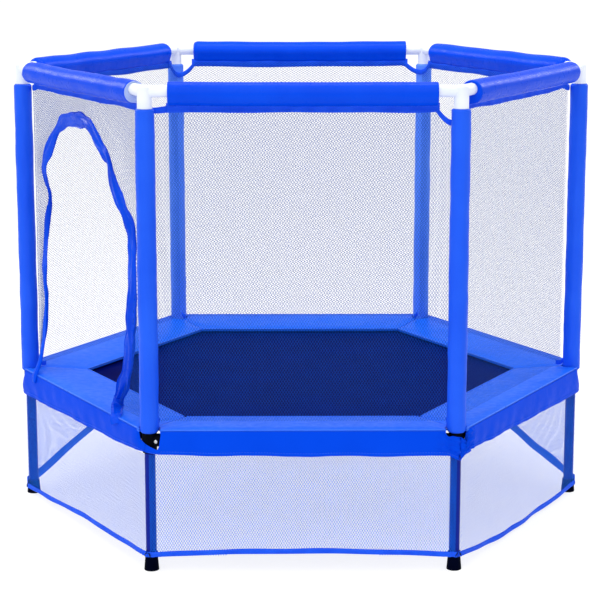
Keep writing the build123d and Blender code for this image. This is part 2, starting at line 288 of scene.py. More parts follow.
def painted_steel(name, colour, worn):
    """Powder coat: a slight orange peel, a few rubbed patches and duller scuffs."""
    f = Finish(name, Specular_IOR_Level=.08, Coat_Weight=.06, Coat_Roughness=.18)
    scuff = f.spread(f.noise(55, 6, roughness=.7), 0, 1, .62, .72)
    f.colour(f.mix(scuff, colour, worn))
    f.roughness(f.math("ADD", f.spread(f.noise(18, 3), .28, .42, .3, .7), f.math("MULTIPLY", scuff, .2)))
    f.bump(f.noise(420, 2), .00012, .35)
    return f.material


def moulded_plastic(name, colour, shade, gloss, grain=700, shine=.1):
    """Injection moulding: a spark-eroded grain and slightly uneven gloss."""
    f = Finish(name, Specular_IOR_Level=shine)
    f.colour(f.mix(f.spread(f.noise(16, 2), 0, 1, .35, .65), shade, colour))
    f.roughness(f.spread(f.noise(45, 3), gloss - .06, gloss + .08, .3, .7))
    f.bump(f.noise(grain, 2), .0001, .4)
    return f.material


def spring_steel(name, colour, gloss):
    """Zinc-plated wire, with the plating's cloudy patches."""
    f = Finish(name, Metallic=1.0)
    f.colour(f.mix(f.spread(f.noise(120, 3), 0, 1, .3, .7), srgb(150, 152, 158), colour))
    f.roughness(f.spread(f.noise(90, 3), gloss - .05, gloss + .12, .3, .7))
    f.bump(f.noise(900, 1), .00004, .4)
    return f.material


def foam():
    """The cut end of a foam tube."""
    f = Finish("cut_foam", Roughness=.95)
    cells = f.cells(1400.0)
    f.colour(f.mix(f.spread(cells, 0, 1, 0, .8), srgb(215, 226, 250), srgb(150, 175, 235)))
    f.bump(cells, .0004, .8)
    return f.material


# the pad's upper side is the flap's vinyl painted lighter: painted light from above
pad_vinyl = vinyl("pad_vinyl", srgb(28, 106, 244), srgb(20, 98, 236))
flap_vinyl = vinyl("flap_vinyl", srgb(2, 72, 228), srgb(1, 68, 222), shine=.02, coat=0)
# lighter than the pad's vinyl: a painted highlight line along the pad's edges and mitre seams
piping_vinyl = vinyl("piping_vinyl", srgb(64, 124, 250), srgb(54, 114, 246), gloss=.3)
# the same sleeve vinyl painted paler for the rear poles: a painted veil of light from the net in front of
# them
far_sleeve_vinyl = vinyl("far_sleeve_vinyl", srgb(88, 140, 250), srgb(76, 128, 246), gloss=.42)
sleeve_vinyl = vinyl("sleeve_vinyl", srgb(30, 94, 240), srgb(20, 84, 234), gloss=.42)
cover_vinyl = vinyl("cover_vinyl", srgb(1, 76, 232), srgb(0, 68, 222), gloss=.3, shine=.05, coat=.03)
ribbon_satin = vinyl("ribbon_satin", srgb(1, 82, 236), srgb(0, 60, 206), gloss=.26, shine=.04, coat=.1)
net_polyester = net_thread("net_polyester", srgb(14, 76, 168))
skirt_polyester = net_thread("skirt_polyester", srgb(22, 116, 250))
hem_webbing = webbing("hem_webbing", srgb(36, 104, 255), srgb(16, 74, 230))
pale_webbing = webbing("pale_webbing", srgb(60, 122, 250), srgb(34, 90, 226))
border_webbing = webbing("border_webbing", srgb(8, 26, 96), srgb(2, 10, 52))
black_elastic = webbing("black_elastic", srgb(20, 24, 40), srgb(3, 4, 10), rib=.001)
mat_fabric = mat_weave()
blue_steel = painted_steel("blue_steel", srgb(0, 26, 140), srgb(9, 50, 172))
white_steel = painted_steel("white_steel", srgb(224, 230, 244), srgb(196, 204, 222))
white_plastic = moulded_plastic("white_plastic", srgb(242, 246, 255), srgb(230, 237, 252), .34)
black_plastic = moulded_plastic("black_plastic", srgb(3, 5, 18), srgb(1, 2, 8), .42, shine=.03)
black_rubber = moulded_plastic("black_rubber", srgb(1, 4, 26), srgb(0, 1, 14), .5, grain=380, shine=.01)
zinc_wire = spring_steel("zinc_wire", srgb(206, 209, 214), .3)
bright_steel = spring_steel("bright_steel", srgb(222, 224, 228), .18)
cut_foam = foam()
thread = net_thread("sewing_thread", srgb(70, 124, 250))


# ---- meshes ----------------------------------------------------------------------------------
def place(angle, out, across, z):
    """Points of a side that faces that angle, as rows of x, y, z."""
    out, across, z = np.broadcast_arrays(*(np.asarray(v, float) for v in (out, across, z)))
    c, s = cos(radians(angle)), sin(radians(angle))
    return np.stack([out * c - across * s, out * s + across * c, z], axis=-1)


def wrap(along, apothem, radius, proud=0.0):
    """How far out and across a cloth is that turns each corner on a radius.

    along is measured along the cloth from the side's middle, and proud stands out from it."""
    straight = (apothem - radius) * TAN30
    turn = np.clip(np.abs(along) - straight, 0, None) / radius
    reach = radius + proud
    out = apothem - radius + reach * np.cos(turn)
    across = np.sign(along) * (np.minimum(np.abs(along), straight) + reach * np.sin(turn))
    return out, across


def circle(count):
    """Angles once round, without the last one."""
    return np.linspace(0, 2 * pi, count, endpoint=False)


def unit(vectors):
    return vectors / np.linalg.norm(vectors, axis=1)[:, None]


def travelled(path):
    """How far along a path each of its points is."""
    return np.concatenate([[0], np.cumsum(np.linalg.norm(np.diff(path, axis=0), axis=1))])


def band_uv(along, girth, count):
    """UV in metres for a band that is lofted along its length, with count points round its girth."""
    return np.stack(np.broadcast_arrays(along[:, None], (circle(count) / (2 * pi) * girth)[None, :]), axis=-1)


def half_wrap(apothem, radius):
    """Length of a wrapped cloth from a side's middle to the corner."""
    return (apothem - radius) * TAN30 + radius * pi / 6


def ripples(u, v, seed, size, waves=6):
    """Soft unevenness, mostly from -1 to 1, with waves about that size."""
    rng = np.random.default_rng(seed)
    total = np.zeros(np.broadcast(u, v).shape)
    for _ in range(waves):
        turn, phase = rng.uniform(0, 2 * pi, 2)
        k = 2 * pi / (size * rng.uniform(.6, 1.7))
        total += np.sin(k * (u * cos(turn) + v * sin(turn)) + phase)
    return total / sqrt(waves)


def ease(x, start, end):
    """0 before start, 1 after end, and smooth between."""
    t = np.clip((np.asarray(x, float) - start) / (end - start), 0, 1)
    return t * t * (3 - 2 * t)


def grid_faces(rows, columns, ring=False):
    last = columns if ring else columns - 1
    steps = [(c, (c + 1) % columns) for c in range(last)]
    return [(low + a, low + b, low + columns + b, low + columns + a)
            for low in range(0, (rows - 1) * columns, columns) for a, b in steps]


def add_piece(name, points, faces, material, uv=None):
    mesh = bpy.data.meshes.new(name)
    mesh.from_pydata(np.asarray(points).reshape(-1, 3).tolist(), [], faces)
    if uv is not None:
        corner = np.empty(len(mesh.loops), np.int32)
        mesh.loops.foreach_get("vertex_index", corner)
        layer = mesh.uv_layers.new(name="UVMap")
        layer.data.foreach_set("uv", np.asarray(uv, float).reshape(-1, 2)[corner].ravel())
    mesh.polygons.foreach_set("use_smooth", [True] * len(mesh.polygons))
    for m in material if isinstance(material, list) else [material]:
        mesh.materials.append(m)
    return link(name, mesh)


def clean(obj, merge=1e-6, sharp=None):
    """Merge doubled points, and point the faces outwards."""
    bm = bmesh.new()
    bm.from_mesh(obj.data)
    bmesh.ops.remove_doubles(bm, verts=bm.verts, dist=merge)
    bmesh.ops.dissolve_degenerate(bm, edges=bm.edges, dist=1e-7)
    bmesh.ops.recalc_face_normals(bm, faces=bm.faces)
    if sharp is not None:
        for edge in bm.edges:
            if len(edge.link_faces) == 2 and edge.calc_face_angle(0) > sharp:
                edge.smooth = False
    bm.to_mesh(obj.data)
    bm.free()
    return obj


def loft(name, sections, material, uv=None, sharp=None):
    """A closed body through a row of closed sections."""
    sections = np.asarray(sections)
    rows, columns = sections.shape[:2]
    faces = grid_faces(rows, columns, ring=True)
    faces.append(tuple(range(columns)))
    faces.append(tuple((rows - 1) * columns + c for c in reversed(range(columns))))
    return clean(add_piece(name, sections, faces, material, uv), sharp=sharp)


def settle(obj):
    """Make an object's modifiers part of its mesh."""
    graph = bpy.context.evaluated_depsgraph_get()
    mesh = bpy.data.meshes.new_from_object(
        obj.evaluated_get(graph), preserve_all_data_layers=True, depsgraph=graph)
    old = obj.data
    obj.modifiers.clear()
    obj.data = mesh
    bpy.data.meshes.remove(old)
    return obj


def thicken(obj, thick):
    skin = obj.modifiers.new("thickness", "SOLIDIFY")
    skin.thickness, skin.offset, skin.use_even_offset = thick, 0, True
    return settle(obj)


def cloth(name, along, up, shape, material, keep=None):
    """An open cloth over a grid of lengths along and heights up, with its flat size as UV from 0 to 1."""
    a, h = np.meshgrid(along, up)
    points = shape(a, h)
    faces = grid_faces(*a.shape)
    if keep is not None:
        mid_a = (a[:-1, :-1] + a[1:, 1:]) / 2
        mid_h = (h[:-1, :-1] + h[1:, 1:]) / 2
        faces = [face for face, kept in zip(faces, keep(mid_a, mid_h).ravel()) if kept]
    uv = np.stack([(a - a.min()) / np.ptp(a), (h - h.min()) / np.ptp(h)], axis=-1)
    return add_piece(name, points, faces, material, uv)


def tube_through(name, points, radius, material, sides=8, closed=False, flatten=1.0):
    """A round wire or piping through points."""
    points = np.asarray(points, float)
    ahead = np.roll(points, -1, 0) - np.roll(points, 1, 0)
    if not closed:
        ahead[0], ahead[-1] = points[1] - points[0], points[-1] - points[-2]
    ahead = unit(ahead)
    side = np.cross(ahead, (0, 0, 1.0))
    weak = np.linalg.norm(side, axis=1) < 1e-3
    side[weak] = np.cross(ahead[weak], (1.0, 0, 0))
    side = unit(side)
    lift = np.cross(side, ahead)
    turn = circle(sides)
    rings = points[:, None] + radius * (
        side[:, None] * np.cos(turn)[:, None] + flatten * lift[:, None] * np.sin(turn)[:, None])
    if closed:
        rings = np.concatenate([rings, rings[:1]])
        return clean(add_piece(name, rings, grid_faces(*rings.shape[:2], ring=True), material))
    return loft(name, rings, material)


def smooth_line(points, count, rounds=3):
    """A row of points rounded off by cutting its corners, then spaced evenly."""
    line = np.asarray(points, float)
    for _ in range(rounds):
        cut = np.empty((2 * len(line) - 2, line.shape[1]))
        cut[0::2] = line[:-1] * .75 + line[1:] * .25
        cut[1::2] = line[:-1] * .25 + line[1:] * .75
        line = np.concatenate([line[:1], cut, line[-1:]])
    far = travelled(line)
    at = np.linspace(0, far[-1], count)
    return np.stack([np.interp(at, far, line[:, k]) for k in range(line.shape[1])], axis=-1)


def inside(u, v, outline):
    """True where a point lies inside the outline."""
    hit = np.zeros(np.broadcast(u, v).shape, bool)
    for (x0, y0), (x1, y1) in zip(outline, np.roll(outline, -1, 0)):
        if y0 == y1:
            continue
        crosses = (v < y0) != (v < y1)
        hit ^= crosses & (u < (x1 - x0) * (v - y0) / (y1 - y0) + x0)
    return hit


def join(name, objects):
    """Several pieces made into one."""
    if len(objects) > 1:
        with bpy.context.temp_override(active_object=objects[0], selected_editable_objects=objects):
            bpy.ops.object.join()
    objects[0].name = name
    objects[0].data.name = name
    return objects[0]


def hand_over(obj, stands_for=(), body="root"):
    """Say what a finished piece is: the solids that it replaces, which are hidden, and its body."""
    if stands_for:
        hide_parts(*([stands_for] if isinstance(stands_for, str) else stands_for))
    if body:
        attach(obj, body)
    return obj


# ---- geometry nodes --------------------------------------------------------------------------
class Tree(Nodes):
    """A Geometry Nodes group under construction."""

    def __init__(self, name, **inputs):
        self.tree = bpy.data.node_groups.new(name, "GeometryNodeTree")
        sockets = self.tree.interface
        sockets.new_socket("Geometry", in_out="INPUT", socket_type="NodeSocketGeometry")
        for key, kind in inputs.items():
            sockets.new_socket(key.replace("_", " "), in_out="INPUT", socket_type="NodeSocket" + kind)
        sockets.new_socket("Geometry", in_out="OUTPUT", socket_type="NodeSocketGeometry")
        self.given = self.add("NodeGroupInput").outputs
        self.target = self.add("NodeGroupOutput")

    def master(self, name):
        """The mesh of an object that is repeated."""
        return self.add("GeometryNodeObjectInfo", {"Object": self.given[name]},
                        transform_space="ORIGINAL").outputs["Geometry"]

    def repeat(self, points, shape, **inputs):
        return self.add("GeometryNodeInstanceOnPoints", {
            "Points": points, "Instance": shape} | inputs).outputs[0]

    def end(self, geometry):
        real = self.add("GeometryNodeRealizeInstances", {0: geometry})
        painted = self.add("GeometryNodeSetMaterial", {
            0: real.outputs[0], "Material": self.given["Material"]})
        self.tree.links.new(painted.outputs[0], self.target.inputs[0])
        return self.tree


def grow(obj, group, **values):
    """Run a node group on an object and keep what it makes as a plain mesh."""
    modifier = obj.modifiers.new(group.name, "NODES")
    modifier.node_group = group
    for item in group.interface.items_tree:
        if item.in_out == "INPUT" and item.name.replace(" ", "_") in values:
            modifier[item.identifier] = values[item.name.replace(" ", "_")]
    return settle(obj)


def net_group():
    """Crossed strands, one pair to each mesh of the net, laid over a cloth by its UV map."""
    t = Tree("netting", Strands="Object", Width="Float", Height="Float",
             Meshes_Across="Int", Meshes_Up="Int", Material="Material")
    sizes, counts = [[t.given[name] for name in names] for names in (
        ("Width", "Height"), ("Meshes Across", "Meshes Up"))]
    steps = [t.math("DIVIDE", size, count) for size, count in zip(sizes, counts)]
    spans = [t.math("SUBTRACT", size, step) for size, step in zip(sizes, steps)]
    grid = t.add("GeometryNodeMeshGrid", {
        "Size X": spans[0], "Size Y": spans[1], "Vertices X": counts[0], "Vertices Y": counts[1]})
    mesh_size, panel = [t.add("ShaderNodeCombineXYZ", {"X": pair[0], "Y": pair[1], "Z": 1.0}).outputs[0]
                        for pair in (steps, sizes)]
    laid = t.repeat(grid.outputs[0], t.master("Strands"), Scale=mesh_size)
    real = t.add("GeometryNodeRealizeInstances", {0: laid})
    where = t.add("GeometryNodeInputPosition").outputs[0]
    inset = t.vector_math("MULTIPLY", t.vector_math("DIVIDE", where, panel), (.9998, .9998, 0))
    uv = t.vector_math("ADD", inset, (.5, .5, 0))
    uv_map = t.add("GeometryNodeInputNamedAttribute", {"Name": "UVMap"}, data_type="FLOAT_VECTOR")

    def on_cloth(kind):
        sample = t.add("GeometryNodeSampleUVSurface", {
            "Mesh": t.given["Geometry"], "Source UV Map": uv_map.outputs[0], "Sample UV": uv},
            data_type="FLOAT_VECTOR")
        t.feed(sample.inputs["Value"], t.add(kind).outputs[0])
        return sample

    surface, normal = on_cloth("GeometryNodeInputPosition"), on_cloth("GeometryNodeInputNormal")
    off_cloth = t.add("FunctionNodeBooleanMath", {0: surface.outputs["Is Valid"]}, operation="NOT")
    cut = t.add("GeometryNodeDeleteGeometry", {
        "Geometry": real.outputs[0], "Selection": off_cloth.outputs[0]}, domain="POINT", mode="ALL")
    height = t.add("ShaderNodeSeparateXYZ", {0: where}).outputs["Z"]
    lift = t.vector_math("SCALE", normal.outputs["Value"], height)
    at = t.vector_math("ADD", surface.outputs["Value"], lift)
    return t.end(t.add("GeometryNodeSetPosition", {"Geometry": cut.outputs[0], "Position": at}).outputs[0])


def row_group():
    """One shape repeated in a straight row."""
    t = Tree("row", Shape="Object", Count="Int", Start="Vector", Step="Vector", Turn="Vector",
             Material="Material")
    line = t.add("GeometryNodeMeshLine", {
        "Count": t.given["Count"], "Start Location": t.given["Start"],
        "Offset": t.given["Step"]}, mode="OFFSET")
    turn = t.add("FunctionNodeEulerToRotation", {0: t.given["Turn"]})
    return t.end(t.repeat(line.outputs[0], t.master("Shape"), Rotation=turn.outputs[0]))


def stitch_group():
    """Stitches at an even pitch along the edges of a line."""
    t = Tree("stitching", Shape="Object", Pitch="Float", Material="Material")
    curve = t.add("GeometryNodeMeshToCurve", {0: t.given["Geometry"]})
    even = t.add("GeometryNodeResampleCurve", {
        "Curve": curve.outputs[0], "Length": t.given["Pitch"]}, mode="LENGTH")
    tangent = t.add("GeometryNodeInputTangent")
    turn = t.add("FunctionNodeAlignRotationToVector", {"Vector": tangent.outputs[0]}, axis="X")
    return t.end(t.repeat(even.outputs[0], t.master("Shape"), Rotation=turn.outputs[0]))


def spare(obj):
    """Take a shape that was only repeated out of the scene."""
    bpy.data.objects.remove(obj)


def line_object(name, runs):
    """Edges through each run of points, for stitches to follow."""
    points, edges = [], []
    for run in runs:
        first = len(points)
        points += [tuple(p) for p in run]
        edges += [(i, i + 1) for i in range(first, len(points) - 1)]
    mesh = bpy.data.meshes.new(name)
    mesh.from_pydata(points, edges, [])
    return link(name, mesh)


def stitch_shape(length=.0034, radius=.00045):
    """One stitch: a short thread that dips at both ends."""
    along = np.array([-.5, -.3, .3, .5]) * length
    points = np.stack([along, 0 * along, np.array([-.6, .5, .5, -.6]) * radius], axis=-1)
    return tube_through("stitch", points, radius, thread, sides=5)


NETTING, ROW, STITCHING = net_group(), row_group(), stitch_group()
STITCH_PITCH = .0065


def sew(name, lines):
    """Stitches along each of the lines, as one piece."""
    sewn = grow(line_object(name, lines), STITCHING, Shape=stitch, Pitch=STITCH_PITCH, Material=thread)
    hand_over(sewn)


set_camera()
set_studio()

# ---- safety pad ------------------------------------------------------------------------------
PAD_TOP_EDGE = PAD_OUTER - .0025         # outer edge of the foam, inside the flap's thickness
PAD_HEIGHT = {"inner": (.3305, .3410), "outer": (.3378, .3510)}
NOTCH_R = .026
# how each pad ends at a pole, low end first: "w" is cut square beside it, "n" is notched round it
PAD_ENDS = {"front": "ww", "front_left": "wn", "front_right": "nw", "back_left": "nw", "back_right": "wn"}
FLAP_CORNER_R = .090
FLAP_A = PAD_OUTER - .0012


def pad_level(out, side):
    """Height of the pad's upper (1) or under (0) side without its crown."""
    share = (out - PAD_INNER) / (PAD_TOP_EDGE - PAD_INNER)
    return PAD_HEIGHT["inner"][side] * (1 - share) + PAD_HEIGHT["outer"][side] * share


def pad_half(out, end="n"):
    """Half the pad's length, as far as the mitre, the notch round the pole, or a square cut beside it."""
    mitre = out * TAN30 - .0013
    past = np.clip(out - APOTHEM, None, 0) if end == "w" else out - APOTHEM
    notch = APOTHEM * TAN30 - np.sqrt(np.clip(NOTCH_R ** 2 - past ** 2, 0, None))
    return np.where(out > APOTHEM - NOTCH_R, np.minimum(mitre, notch), mitre)


def pad_section(samples=26, round_r=.0042):
    """How far out, and 0 to 1 from the under side to the upper side, once round the pad."""
    low, high = PAD_INNER, PAD_TOP_EDGE
    top = np.linspace(low + round_r, high - round_r, samples)
    turn = np.linspace(pi / 2, -pi / 2, 8)[1:-1]
    outer = [(high - round_r + round_r * cos(t), .5 + .5 * sin(t)) for t in turn]
    inner = [(low + round_r - round_r * cos(t), .5 - .5 * sin(t)) for t in turn]
    under = np.linspace(high - round_r, low + round_r, samples // 2)
    return np.array([(x, 1) for x in top] + outer + [(x, 0) for x in under] + inner)


def make_pad(side, angle, seed):
    ring = pad_section()
    spans = np.sin(np.linspace(-pi / 2, pi / 2, 90)) * .5 + np.linspace(-1, 1, 90) * .5
    out, share = ring.T[:, None, :]
    low_end, high_end = [pad_half(out, kind) for kind in PAD_ENDS.get(side, "nn")]
    half = np.where(spans[:, None] < 0, low_end, high_end)
    across = spans[:, None] * half
    from_end = (1 - np.abs(spans))[:, None] * half
    from_edge = np.minimum(out - PAD_INNER, PAD_TOP_EDGE - out)
    full = ease(np.minimum(from_end, from_edge), 0, .022)
    under, upper = pad_level(out, 0), pad_level(out, 1)
    near_seam = 1 - ease(np.minimum(from_end, from_edge), .002, .03)
    crown = .0016 * full + .0007 * ripples(across, out, seed, .16) * full
    pucker = .00045 * near_seam * ripples(across, out * 3, seed + 5, .022)
    slim = .0022 * (1 - full)
    z = under + slim * .5 + (upper - under - slim + crown + pucker) * share
    # the cushion wears the painted-lit, lighter copy of the flap's vinyl
    obj = loft(f"cushion_{side}", place(angle, out + 0 * across, across, z), pad_vinyl, sharp=radians(70))
    hand_over(obj, f"pad_{side}")


def flap_edges(side):
    """Top and bottom of the flap over its length, as functions of the length along."""
    end = half_wrap(FLAP_A, FLAP_CORNER_R)
    top = PAD_HEIGHT["outer"][1] - .0045
    # the opening round the pole at the low and the high end: distances from the corner, and the
    # upper edge's height there
    plain = [0, .020, .034, .037], [.306, .320, .330, top]
    openings = {
        "front": (([0, .030, .0345, .037], [.3135, .3010, .3035, top]),
                  ([0, .018, .034, .037], [.3290, .3325, .3330, top])),
        "front_left": (plain, ([0, .008, .0165, .019], [.3135, .3190, .3250, top])),
        "front_right": (([0, .010, .017, .021], [.3290, .3230, .3190, top]), plain),
    }.get(side, (plain, plain))

    def upper(s):
        return np.minimum(np.interp(end + s, *openings[0]), np.interp(end - s, *openings[1]))

    # heights of the lower edge: at the low end, near it, in the middle, near the high end, at it
    heights = {
        "front": (.2945, .2900, .2865, .2870, .2720), "front_left": (.281, .281, .286, .294, .2945),
        "front_right": (.2720, .293, .286, .281, .281)}.get(side, (.281, .282, .2805, .282, .281))
    at = [-end, -end + .035, 0, end - .030, end]

    def lower(s):
        return np.interp(s, at, heights) + .0012 * np.sin(s * 31 + len(side))
    return end, upper, lower


def flap_shape(side, angle, seed):
    end, upper, lower = flap_edges(side)

    def shape(s, h):
        top, bottom = upper(s), lower(s)
        z = bottom + (top - bottom) * h
        belly = .0024 * np.sin(pi * np.clip(h, 0, 1)) + .0012 * ripples(s, h * .07, seed, .09) * (1 - h * .8)
        hem = .0007 * (1 - ease(h, .10, .13))
        # the flap is crumpled where it goes round the front right pole
        crush = {"front": ease(s, end - .075, end - .03), "front_right": ease(-s, end - .06, end - .03)}
        crumple = .0030 * ripples(s, h * .06, seed + 5, .016) * crush.get(side, 0)
        return place(angle, *wrap(s, FLAP_A, FLAP_CORNER_R, belly + hem + crumple), z)
    return end, shape


def make_flap(side, angle, seed):
    end, shape = flap_shape(side, angle, seed)
    along = np.linspace(-end, end, 150)
    up = np.concatenate([np.linspace(0, .14, 8), np.linspace(.17, 1, 18)])
    obj = thicken(cloth(f"flap_{side}", along, up, shape, flap_vinyl), .0014)
    hand_over(obj, f"pad_{side}")
    return [shape(along[2:-2], 0 * along[2:-2] + .125) + place(angle, .0018, 0, 0)]


def make_piping():
    """The welt along the pad's edges, and the raised seam at each mitre, in a lighter vinyl that is a painted
    highlight.
    """
    runs = []
    for name, angle in SIDES.items():
        low_end, high_end = [
            pad_half(np.array(PAD_TOP_EDGE), kind) - .002 for kind in PAD_ENDS.get(name, "nn")]
        outer = np.linspace(-low_end, high_end, 60)
        inner = np.linspace(-PAD_INNER * TAN30 + .004, PAD_INNER * TAN30 - .004, 40)
        runs.append(("outer", place(angle, PAD_TOP_EDGE - .0006, outer, PAD_HEIGHT["outer"][1] - .0016)))
        runs.append(("inner", place(angle, PAD_INNER + .0008, inner, PAD_HEIGHT["inner"][1] - .0008)))
    for name in ("left", "front_left", "front_right"):     # the other mitres are open grooves
        angle = CORNERS[name]
        reach = np.linspace(PAD_INNER + .003, APOTHEM - NOTCH_R + .006, 24)
        runs.append(("mitre", place(angle, reach / cos(radians(30)), 0, pad_level(reach, 1) - .0006)))
    made = [tube_through("run", points, .0013 if kind == "mitre" else .0015, piping_vinyl)
            for kind, points in runs]
    hand_over(join("pad_piping", made))


stitch = stitch_shape()
flap_lines = []
for seed, (side, angle) in enumerate(SIDES.items()):
    make_pad(side, angle, 10 + seed)
    flap_lines += make_flap(side, angle, 30 + seed)
make_piping()
sew("flap_stitching", flap_lines)

# ---- pole sleeves ----------------------------------------------------------------------------


def make_sleeve(corner, angle, seed):
    """A foam tube in a vinyl skin with a lapped seam towards the middle."""
    bottom, top = sleeve_low.z, sleeve_high.z
    bore = TUBE_R + .0006
    up = np.concatenate([np.linspace(0, .012, 7), np.linspace(.02, .98, 64), np.linspace(.988, 1, 7)])
    z = bottom + (top - bottom) * up
    turn = circle(64)
    zz, tt = z[:, None], turn[None, :]
    from_end = np.minimum(zz - bottom, top - zz)
    body = SLEEVE_R - .0005 - .0036 * (1 - ease(from_end, 0, .006)) ** 2
    body = body + .0005 * ripples(tt * SLEEVE_R, zz, seed, .14)
    body = body + .0003 * ripples(tt * SLEEVE_R * 3, zz, seed + 1, .05)
    lap = .0011 * np.exp(-((np.angle(np.exp(1j * (tt - pi))) - .05) / .06) ** 2)
    radius = body + lap * ease(from_end, 0, .004)
    skin, core = [place(angle, CORNER_R + r * np.cos(tt), r * np.sin(tt), zz) for r in (radius, bore)]
    rings = np.concatenate([skin, core[::-1], skin[:1]])
    # rear sleeves get the paler copy, which is painted light, not a different vinyl
    outside = far_sleeve_vinyl if corner.startswith("back") else sleeve_vinyl
    obj = add_piece(f"sleeve_{corner}", rings, grid_faces(*rings.shape[:2], ring=True), [outside, cut_foam])
    clean(obj, sharp=radians(60))
    for face in obj.data.polygons:
        middle = face.center.xy.length
        flat_end = abs(face.normal.z) > .9
        face.material_index = 1 if flat_end and abs(middle - CORNER_R) < SLEEVE_R else 0
    hand_over(obj, f"pole_sleeve_{corner}")


for seed, (corner, angle) in enumerate(CORNERS.items()):
    make_sleeve(corner, angle, 50 + seed)

# ---- rail covers -----------------------------------------------------------------------------
COVER_SAG = {"front": .0005, "front_left": .0010, "front_right": .0010}
COVER_LIFT = {"back": .004, "back_left": .002, "back_right": .002}
# how each end of a cover is finished, at the low and the high end of its side
COVER_ENDS = {
    "front": ("open", "open"), "front_left": ("soft", "open"), "front_right": ("turned", "soft"),
    "back_right": ("soft", "soft"), "back": ("open", "soft"), "back_left": ("soft", "soft"),
}


def cover_axis_z(side):
    return COVER_AXIS_Z - COVER_SAG.get(side, 0) + COVER_LIFT.get(side, 0)


def make_cover(side, angle, seed):
    """Foam on the top rail in a vinyl skin that is gathered under it, towards the net."""
    half = COVER_HALF - .001
    hole_r = .0145
    ends = COVER_ENDS[side]
    near_ends = np.linspace(0, .03, 14)
    middle = np.linspace(-half + .036, half - .036, 74)
    along = np.concatenate([-half + near_ends, middle, half - near_ends[::-1]])
    turn = circle(56)
    aa, tt = along[:, None], turn[None, :]
    pinch = np.zeros_like(aa)
    for kind, from_end in zip(ends, (aa + half, half - aa)):
        if kind == "soft":
            round_off = (1 - np.clip(from_end / .017, 0, 1)) ** 2
            pinch = pinch + .0095 * (1 - np.sqrt(1 - round_off))
        else:
            pinch = pinch + .0016 * (1 - ease(from_end, 0, .003))
    pull = np.angle(np.exp(1j * (tt - radians(238))))
    drawn = .0052 * np.exp(-(pull / .30) ** 2) - .0008 * np.exp(-((np.abs(pull) - .62) / .3) ** 2)
    creases = .0005 * np.exp(-(pull / .9) ** 2) * ripples(aa, tt * .002, seed + 3, .018)
    radius = COVER_R + .0010 - pinch + drawn + creases + .0007 * ripples(aa, tt * .02, seed, .13)
    centre = cover_axis_z(side) - .0012 * np.cos(pi * aa / (2 * half))
    out = APOTHEM + radius * np.cos(tt)
    z = centre + radius * np.sin(tt)
    skin = place(angle, out, aa + 0 * tt, z)
    first, last = [
        place(angle, APOTHEM + hole_r * np.cos(turn), at, RAIL_TOP_Z + hole_r * np.sin(turn))
        for at in (along[0] + .001, along[-1] - .001)]
    rings = np.concatenate([first[None], skin, last[None], first[None]])
    obj = add_piece(f"cover_{side}", rings, grid_faces(*rings.shape[:2], ring=True), [cover_vinyl, cut_foam])
    clean(obj, sharp=radians(55))
    sideways = Vector(place(angle, 0, 1, 0))
    for face in obj.data.polygons:
        across, facing = face.center @ sideways, abs(face.normal @ sideways)
        kind = ends[0] if across < 0 else ends[1]
        face.material_index = 1 if kind == "open" and facing > .85 and abs(across) > half - .01 else 0
    hand_over(obj, f"rail_cover_{side}")


def hem_top_z(side):
    return cover_axis_z(side) - COVER_R * .84


HEM_DROP = .0215
HEM_A = NET_A + .0032


def make_cover_hem(side, angle, seed):
    """The flat hem under a cover, two layers thick, that takes the top of the net."""
    half = COVER_HALF + .004
    top = hem_top_z(side)

    def shape(s, h):
        droop = .0015 * ripples(s, 0 * s, seed, .2)
        wave = .0010 * ripples(s, h * .02, seed + 2, .06)
        lean = (APOTHEM - COVER_R * .56 - HEM_A) * ease(h, .45, 1)
        out = HEM_A + wave + lean + .0005 * (h < .16)
        return place(angle, out, s, top - HEM_DROP * (1 - h) + droop * (1 - h))

    along = np.linspace(-half, half, 110)
    up = np.array([0, .07, .14, .18, .3, .45, .6, .8, 1])
    strip = cloth(f"cover_hem_{side}", along, up, shape, hem_webbing)
    scale_uv(strip, 2 * half, HEM_DROP)
    obj = thicken(strip, .0018)
    hand_over(obj, f"rail_cover_{side}")
    return [shape(along[1:-1], 0 * along[1:-1] + level) + place(angle, .0011, 0, 0) for level in (.16, .62)]


def scale_uv(obj, width, height):
    """Turn a cloth's UV from shares of its size into metres, for a woven finish."""
    layer = obj.data.uv_layers["UVMap"]
    uv = np.empty(len(layer.data) * 2)
    layer.data.foreach_get("uv", uv)
    uv = uv.reshape(-1, 2) * (width, height)
    layer.data.foreach_set("uv", uv.ravel())


cover_lines = []
for seed, (side, angle) in enumerate(SIDES.items()):
    make_cover(side, angle, 70 + seed)
    cover_lines += make_cover_hem(side, angle, 90 + seed)
sew("cover_stitching", cover_lines)

# ---- enclosure net ---------------------------------------------------------------------------
NET_CORNER_R = .025
NET_END = half_wrap(NET_A, NET_CORNER_R)
NET_HEAD = NET_TOP + .006
# how far the tape of the net hangs below the hems where it goes round each pole
CORNER_DIP = {"back_left": .030, "back_right": .022, "front_right": .036, "front_left": .006,
              "left": .010, "right": .010}
SIDE_CORNERS = {
    "back_right": ("right", "back_right"), "back": ("back_right", "back_left"),
    "back_left": ("back_left", "left"), "front_left": ("left", "front_left"),
    "front": ("front_left", "front_right"), "front_right": ("front_right", "right"),
}
NET_MESH, NET_STRAND = (.0066, .0106), .00066    # the meshes lie turned on the three rear sides


def tape_z(side, s):
    """Height of the middle of the net's top tape along a side."""
    level = hem_top_z(side) - HEM_DROP * .6
    dips = [CORNER_DIP[name] for name in SIDE_CORNERS[side]]
    past = np.clip((np.abs(s) - (COVER_HALF - .004)) / (NET_END - COVER_HALF + .004), 0, 1)
    dip = np.where(s < 0, dips[0], dips[1])
    meet = np.mean([hem_top_z(name) - HEM_DROP * .6 for name in SIDES])
    return level + (meet - level) * past - dip * np.sin(past * pi / 2) ** .9


